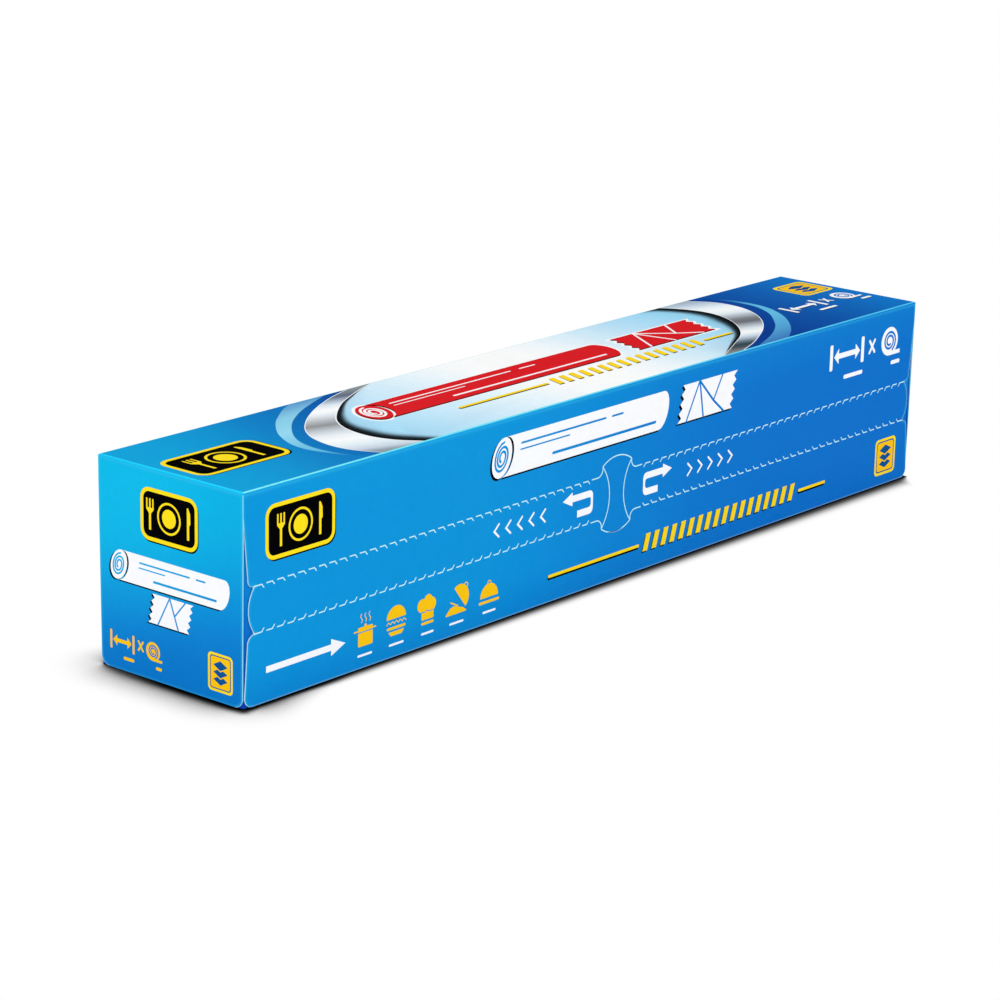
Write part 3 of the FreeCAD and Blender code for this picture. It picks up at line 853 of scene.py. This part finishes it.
def printPanel(board, name, drawing, slots, glowEdge=None):
    # cuts the drawing into one flat panel of the board and gives each new face its ink
    panel = panels[name]
    origin, across, up = (Vector(panel[k]) for k in ("origin", "across", "up"))
    out = across.cross(up)

    def flat(co):
        return ((co - origin).dot(across) / mm, (co - origin).dot(up) / mm)

    def onPanel(face):
        return face.normal.dot(out) > 0.9999 and abs((face.calc_center_median() - origin).dot(out)) < 1e-6

    faces = [face for face in board.faces if onPanel(face)]
    rims = rimsOf(faces, flat)
    corners = [v for rim in rims for v in rim]
    number = {v: i for i, v in enumerate(corners)}
    rimSides = [(number[v], number[rim[(i + 1) % len(rim)]]) for rim in rims for i, v in enumerate(rim)]
    outlines = [[flat(v.co) for v in rim] for rim in rims]
    layers = []
    if "crush" in panel:
        # bare board shows along a flap's free sides, as wide as the knife crushes it
        layers += [("cutBoard", outlines[0]), (panel["ground"], grow(outlines[0], -panel["crush"]))]
        layers += [(panel["ground"], roundBox(*box, 0.1)) for box in panel["covered"]]
        # a thin painted highlight down each upper corner
        low, high, half = cornerHighlightStrip["low"], cornerHighlightStrip["high"], cornerHighlightStrip["half"]
        for x in panel["corners"]:
            strip = [(x - half, low), (x + half, low), (x + half, high), (x - half, high)]
            layers.append(("cornerHighlight", strip))
    layers += drawing
    places = [Vector(p) for outline in outlines for p in outline]
    sides, areas = list(rimSides), []
    for outline in outlines:
        start = sum(len(a) for a in areas)
        loop = list(range(start, start + len(outline)))
        areas.append(loop if area(outline) > 0 else loop[::-1])
    for ink, outline in layers:
        if area(outline) < 0:
            outline = outline[::-1]
        areas.append(list(range(len(places), len(places) + len(outline))))
        places += [Vector(p) for p in outline]
    # by default the nearness carries the painted highlight along the panel's sides; on the lid, the printed
    # shade under the silver band
    line, band, reach = glowEdge or (outlines[0], panel["highlightBand"], lambda x, y: panel["glow"])
    width = max(x for x, y in outlines[0])
    edge = [(Vector(a), Vector(b)) for a, b in zip(line, line[1:] + line[:1])]
    edge = [(a, b) for a, b in edge if max(a.x, b.x) < band or min(a.x, b.x) > width - band]
    inner = grow(line, lambda x, y: -reach(x, y))
    start = len(places)
    places += [Vector(p) for p in inner]
    sides += [(start + i, start + (i + 1) % len(inner)) for i in range(len(inner))]
    cut = delaunay_2d_cdt(places, sides, areas, 0, 1e-5)
    flatPlaces, flatSides, pieces, placeFrom, sideFrom, pieceFrom = cut

    # a print outline that runs off the panel adds a corner to the fold it meets
    boardCorner = {i: corners[min(s)] for i, s in enumerate(placeFrom) if s and min(s) < len(corners)}
    onRim = {}
    for ends, sources in zip(flatSides, sideFrom):
        for source in sources:
            if source < len(rimSides):
                onRim.setdefault(source, set()).update(i for i in ends if i not in boardCorner)
    for source, extra in onRim.items():
        start, end = (corners[i] for i in rimSides[source])
        for i in sorted(extra, key=lambda i: (flatPlaces[i] - Vector(flat(start.co))).length):
            side = board.edges.get((start, end))
            share = (flatPlaces[i] - Vector(flat(start.co))).length / (side.calc_length() / mm)
            boardCorner[i] = start = bmesh.utils.edge_split(side, start, share)[1]
    bmesh.ops.delete(board, geom=faces, context="FACES")

    near = board.verts.layers.float["nearEdge"]
    rimCount = len(rims)
    for piece, sources in zip(pieces, pieceFrom):
        if sum(source < rimCount for source in sources) % 2 == 0:
            continue
        top = max(sources)
        ink = layers[top - rimCount][0] if top >= rimCount else panel["ground"]
        for i in piece:
            if i not in boardCorner:
                x, y = flatPlaces[i]
                boardCorner[i] = board.verts.new(origin + (across * x + up * y) * mm)
            boardCorner[i][near] = nearness(flatPlaces[i], edge, reach(*flatPlaces[i]))
        face = board.faces.new([boardCorner[i] for i in piece])
        face.material_index = slots[ink]
    print(name, "printed:", len(drawing), "outlines")


# Where the plain board's faces lie, in millimetres from the carton's middle and up from its base
boardLines = {
    "innerFace": (154.505, 26.505), "outerFace": (154.995, 26.995),
    "backReach": 154.39, "backTop": 52.9,
    "foldFoot": 58.39, "foldStart": 26.39, "foldStop": (154.9999, 26.9999),
    "grooveFloor": 26.88, "cutStart": 26.49, "cutReach": 150.9, "cutFoot": 10.0,
    "innerStart": (153.8, 25.8), "innerStop": (154.99, 26.99), "innerFoot": 0.05, "innerTop": 53.01,
}


def baseFinish(face, lines):
    # the finish of a board face before anything is printed on it
    x, y, z = (abs(c / mm) for c in face.calc_center_median())
    (innerX, innerY), (outerX, outerY) = lines["innerFace"], lines["outerFace"]
    (startX, startY), (stopX, stopY) = lines["innerStart"], lines["innerStop"]
    onBack = face.calc_center_median().y > 0 and y > innerY
    if onBack and z < lines["backTop"] and x < lines["backReach"]:
        return "boardBlue"  # the back has no flap over it
    if z > lines["foldFoot"] and x < lines["foldStop"][0] and y < lines["foldStop"][1]:
        return "frontFold" if y > lines["foldStart"] else "endFold"
    if innerX < x < outerX:
        return "endEdge"
    if innerY < y < outerY:
        return "frontEdge"
    inCut = lines["cutStart"] < y < stopY and x < lines["cutReach"] and z > lines["cutFoot"]
    if inCut or abs(y - lines["grooveFloor"]) < 0.01:
        return "cutBoard"
    if lines["innerFoot"] < z < lines["innerTop"] and (y > startY or x > startX) and y < stopY and x < stopX:
        return "innerBoardAndShade"
    return "boardBlue"


# The cuts' floors in the CAD board, and where they rise to
cuts = {"floor": -26.5, "reach": 150.95, "foot": 15.0, "closedTo": -26.88}


def closeCuts(board):
    # the cuts have closed again, so only a shallow groove shows
    for corner in board.verts:
        x, y, z = (c / mm for c in corner.co)
        if abs(y - cuts["floor"]) < 0.001 and abs(x) < cuts["reach"] and z > cuts["foot"]:
            corner.co.y = cuts["closedTo"] * mm


def buildCarton():
    grain = boardGrain(boardLook)
    mesh = bpy.data.meshes.new("printedCarton")
    slots = {}
    for name, ink in inks.items():
        slots[name] = len(mesh.materials)
        mesh.materials.append(mixInk(name, ink, grain, boardLook))
    print("inks mixed:", len(slots))
    board = bmesh.new()
    board.from_mesh(cadCarton.data)
    bmesh.ops.remove_doubles(board, verts=board.verts, dist=1e-7)
    closeCuts(board)
    board.normal_update()
    board.verts.layers.float.new("nearEdge")
    for face in board.faces:
        face.material_index = slots[baseFinish(face, boardLines)]
    printPanel(board, "front", drawFront(frontPrint), slots)
    printPanel(board, "nearEnd", drawEnd(endPrint), slots)
    printPanel(board, "farEnd", [], slots)
    printPanel(board, "lid", drawLid(lidPrint), slots, (lidOval(lidPrint), 311.0, lidShade))
    board.normal_update()
    for face in board.faces:
        face.smooth = True
    for edge in board.edges:
        edge.smooth = len(edge.link_faces) == 2 and edge.calc_face_angle(0) < radians(28)
    openEdges = sum(len(edge.link_faces) != 2 for edge in board.edges)
    board.to_mesh(mesh)
    board.free()
    carton = placed("printedCarton", mesh)
    weighted = carton.modifiers.new("flatPanels", "WEIGHTED_NORMAL")
    weighted.keep_sharp = True
    weighted.weight = 100
    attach(carton, "root")
    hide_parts("foil_carton")
    print("carton built:", len(mesh.polygons), "faces,", openEdges, "open edges")
    return carton


buildCarton()

# Studio: a plain white floor and soft light
studio = {
    "floorHalf": 6.0,
    "floorDrop": 0.00005,
    "floorBounce": 0.85,
    "mirroredTone": 0.02,
    "baseHalf": (0.1549, 0.0270, 0.0),
    # how far the soft shadow and the dark line at the base reach, by the place along the carton
    "shadowReach": [(-0.156, 0.0185), (-0.14, 0.0115), (-0.125, 0.0050), (-0.115, 0.0016), (0.157, 0.0016)],
    "contactReach": [(-0.156, 0.0062), (-0.15, 0.0030), (-0.135, 0.0035), (-0.122, 0.0065), (0.0, 0.0085),
                     (0.09, 0.0105), (0.148, 0.0112), (0.1545, 0.0012), (0.157, 0.0006)],
    "backReach": 0.009,
    "shadowSamples": 24,
    "shadowTones": [(0.5, 0.012), (0.562, 0.086), (0.624, 0.29), (0.685, 0.534), (0.742, 0.654), (0.8, 0.761),
                    (0.852, 0.854), (0.9, 0.929), (0.943, 0.983), (0.975, 1.0), (0.998, 1.0)],
    "contactTones": [(0.0, 0.03), (0.059, 0.035), (0.118, 0.046), (0.176, 0.092), (0.235, 0.168),
                     (0.353, 0.434), (0.47, 0.708), (0.588, 0.913), (0.706, 0.982), (0.82, 1.0)],
    "worldLight": 0.97,
    "keySize": 1.2, "keyPower": 7.4, "keyPlace": (-1.2, -0.95, 1.35),
    "fillSize": 1.2, "fillPower": 1.0, "fillPlace": (0.6, -1.5, 0.5),
}


def softLamp(name, place, size, power):
    lamp = bpy.data.lights.new(name, "AREA")
    lamp.shape, lamp.size, lamp.energy = "DISK", size, power
    holder = placed(name, lamp)
    holder.location = place
    holder.rotation_mode = "QUATERNION"
    holder.rotation_quaternion = (-Vector(place)).to_track_quat("-Z", "Y")


def chooseByRay(tree, usual, mirrored, seen, out):
    # one shader for light, one for what the gloss mirrors and one for the camera
    rays = joinNodes(tree, "ShaderNodeLightPath")
    shown = usual.outputs[0]
    for ray, shader in (("Is Glossy Ray", mirrored), ("Is Camera Ray", seen)):
        feeds = {0: rays.outputs[ray], 1: shown, 2: shader.outputs[0]}
        shown = joinNodes(tree, "ShaderNodeMixShader", feeds).outputs["Shader"]
    tree.links.new(shown, out.inputs["Surface"])


def reachAlong(tree, value, reaches):
    # a distance that changes with the place along the carton
    start, end = reaches[0][0], reaches[-1][0]
    even = [((x - start) / (end - start), reach) for x, reach in reaches]
    return greyRamp(tree, rangeOf(tree, value, start, end), even)


def floorShadow(tree, s):
    # the soft shadow reaches far out from the near end only
    place = joinNodes(tree, "ShaderNodeTexCoord")
    axes = joinNodes(tree, "ShaderNodeSeparateXYZ", {0: place.outputs["Object"]})
    spread, line = (reachAlong(tree, axes.outputs["X"], s[name]) for name in ("shadowReach", "contactReach"))
    halfDepth = s["baseHalf"][1]
    behind = shareBetween(tree, axes.outputs["Y"], -halfDepth, 0.0, s["backReach"])
    wider = joinNodes(tree, "ShaderNodeMath", {0: spread, 1: behind}, operation="MAXIMUM").outputs["Value"]
    enclosed = joinNodes(tree, "ShaderNodeAmbientOcclusion", {"Distance": wider}, samples=s["shadowSamples"])
    soft = greyRamp(tree, enclosed.outputs["AO"], s["shadowTones"])
    # darkest right at the base, round its corners too
    outside = vectorOf(tree, "ABSOLUTE", place.outputs["Object"]).outputs[0]
    outside = vectorOf(tree, "SUBTRACT", outside, s["baseHalf"]).outputs[0]
    outside = vectorOf(tree, "MAXIMUM", outside, (0, 0, 0)).outputs[0]
    away = vectorOf(tree, "LENGTH", outside).outputs["Value"]
    share = joinNodes(tree, "ShaderNodeMath", {0: away, 1: line}, operation="DIVIDE").outputs["Value"]
    dark = greyRamp(tree, share, s["contactTones"])
    return mixedIn(tree, soft, dark, shareBetween(tree, axes.outputs["Y"], halfDepth, 0.0), "MULTIPLY")


def whiteFloor(s):
    half = s["floorHalf"]
    mesh = bpy.data.meshes.new("studioFloor")
    corners = [(-half, -half, 0), (half, -half, 0), (half, half, 0), (-half, half, 0)]
    mesh.from_pydata(corners, [], [(0, 1, 2, 3)])
    floor = placed("studioFloor", mesh)
    floor.location.z = -s["floorDrop"]
    material = bpy.data.materials.new("studioWhite")
    material.use_nodes = True
    tree = material.node_tree
    tree.nodes.remove(tree.nodes["Principled BSDF"])
    glow = joinNodes(tree, "ShaderNodeEmission", {"Color": floorShadow(tree, s)})
    matt = joinNodes(tree, "ShaderNodeBsdfDiffuse", {"Color": (s["floorBounce"],) * 3 + (1,)})
    dim = joinNodes(tree, "ShaderNodeEmission", {"Color": (s["mirroredTone"],) * 3 + (1,)})
    chooseByRay(tree, matt, dim, glow, tree.nodes["Material Output"])
    mesh.materials.append(material)


def whiteWorld(s):
    world = bpy.data.worlds.new("studioWorld")
    world.use_nodes = True
    bpy.context.scene.world = world
    tree = world.node_tree
    light = tree.nodes["Background"]
    light.inputs["Color"].default_value = (1, 1, 1, 1)
    light.inputs["Strength"].default_value = s["worldLight"]
    backdrop = joinNodes(tree, "ShaderNodeBackground", {"Color": (1, 1, 1, 1)})
    dim = joinNodes(tree, "ShaderNodeBackground", {"Color": (s["mirroredTone"],) * 3 + (1,)})
    chooseByRay(tree, light, dim, backdrop, tree.nodes["World Output"])


whiteFloor(studio)
whiteWorld(studio)
softLamp("keyLamp", studio["keyPlace"], studio["keySize"], studio["keyPower"])
softLamp("fillLamp", studio["fillPlace"], studio["fillSize"], studio["fillPower"])
bpy.context.scene.view_settings.view_transform = "Standard"
print("studio lit")
